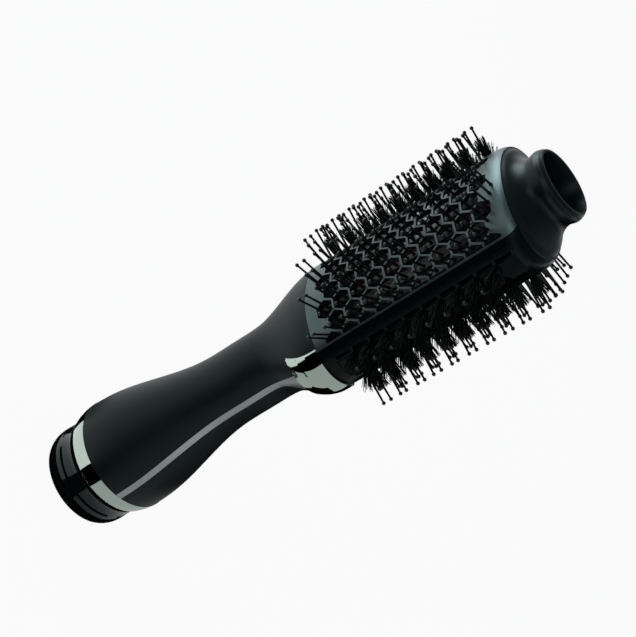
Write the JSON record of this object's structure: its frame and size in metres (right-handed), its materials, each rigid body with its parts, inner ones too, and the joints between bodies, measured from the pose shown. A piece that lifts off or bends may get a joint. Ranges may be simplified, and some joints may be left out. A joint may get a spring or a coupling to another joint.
{
  "type": "hot air brush",
  "caption": "Oval blow-dry brush head with pins, bristle tufts and perforated faces on a waisted round handle with a mode dial, air intake and cord swivel at its base.",
  "frame": {"origin": "centre of the flat base face that the brush stands on", "axes": "+Z along the handle's axis towards the cool tip, X across the oval head's wide way, -Y towards the front face"},
  "size_m": [0.1234, 0.0922, 0.359],
  "materials": {
    "base_plastic": "semi-gloss black moulding",
    "screw_steel": "blackened screw",
    "dial_gloss": "gloss black",
    "inner_plastic": "heat-proof moulding",
    "filter_mesh": "fine mesh",
    "board": "circuit board",
    "chrome_trim": "dark mirror chrome",
    "soft_touch": "soft-touch black",
    "grey_trim": "satin grey",
    "duct_plastic": "mica-lined duct",
    "fan_plastic": "moulded fan",
    "shaft_steel": "ground",
    "motor_steel": "plated can",
    "mica": "mica board",
    "heater_wire": "resistance ribbon",
    "sensor_metal": "plated",
    "frame_plastic": "heat-proof black",
    "face_metal": "satin ceramic-coated metal",
    "pin_nylon": "black nylon",
    "carrier_gloss": "gloss black",
    "bristle": "black nylon bristle",
    "tip_satin": "satin black"
  },
  "bodies": {
    "handle": {"end_cap": "base_plastic", "end_cap_screws": "screw_steel", "intake_spigot": "inner_plastic", "intake_filter": "filter_mesh", "rotary_switch": "inner_plastic", "circuit_board": "board", "base_ring": "chrome_trim", "front_shell": "soft_touch", "back_shell": "soft_touch", "right_trim": "grey_trim", "left_trim": "grey_trim", "right_saddle": "chrome_trim", "left_saddle": "chrome_trim", "air_duct": "duct_plastic", "motor_can": "motor_steel", "motor_mount": "inner_plastic", "heater_frame": "mica", "heater_bands": "heater_wire", "thermostat": "sensor_metal", "thermal_fuse": "sensor_metal", "barrel_frame": "frame_plastic", "air_divider": "mica", "front_plate": "face_metal", "back_plate": "face_metal", "front_pins": "pin_nylon", "back_pins": "pin_nylon", "right_carrier": "carrier_gloss", "left_carrier": "carrier_gloss", "right_tufts": "bristle", "left_tufts": "bristle", "cool_tip": "tip_satin", "tip_screw": "screw_steel"},
    "dial": {"mode_dial": "dial_gloss"},
    "swivel": {"cord_swivel": "base_plastic"},
    "rotor": {"impeller": "fan_plastic", "motor_shaft": "shaft_steel"}
  },
  "joints": [
    {"name": "dial_turn", "type": "hinge", "parent": "handle", "child": "dial", "pos_m": [0, 0, 0.012], "axis": [0, 0, 1], "range_deg": [0, 90]},
    {"name": "cord_swivel_spin", "type": "hinge", "parent": "handle", "child": "swivel", "pos_m": [0, 0, 0.005], "axis": [0, 0, 1], "continuous": true},
    {"name": "rotor_spin", "type": "hinge", "parent": "handle", "child": "rotor", "pos_m": [0, 0, 0.075], "axis": [0, 0, 1], "continuous": true}
  ]
}
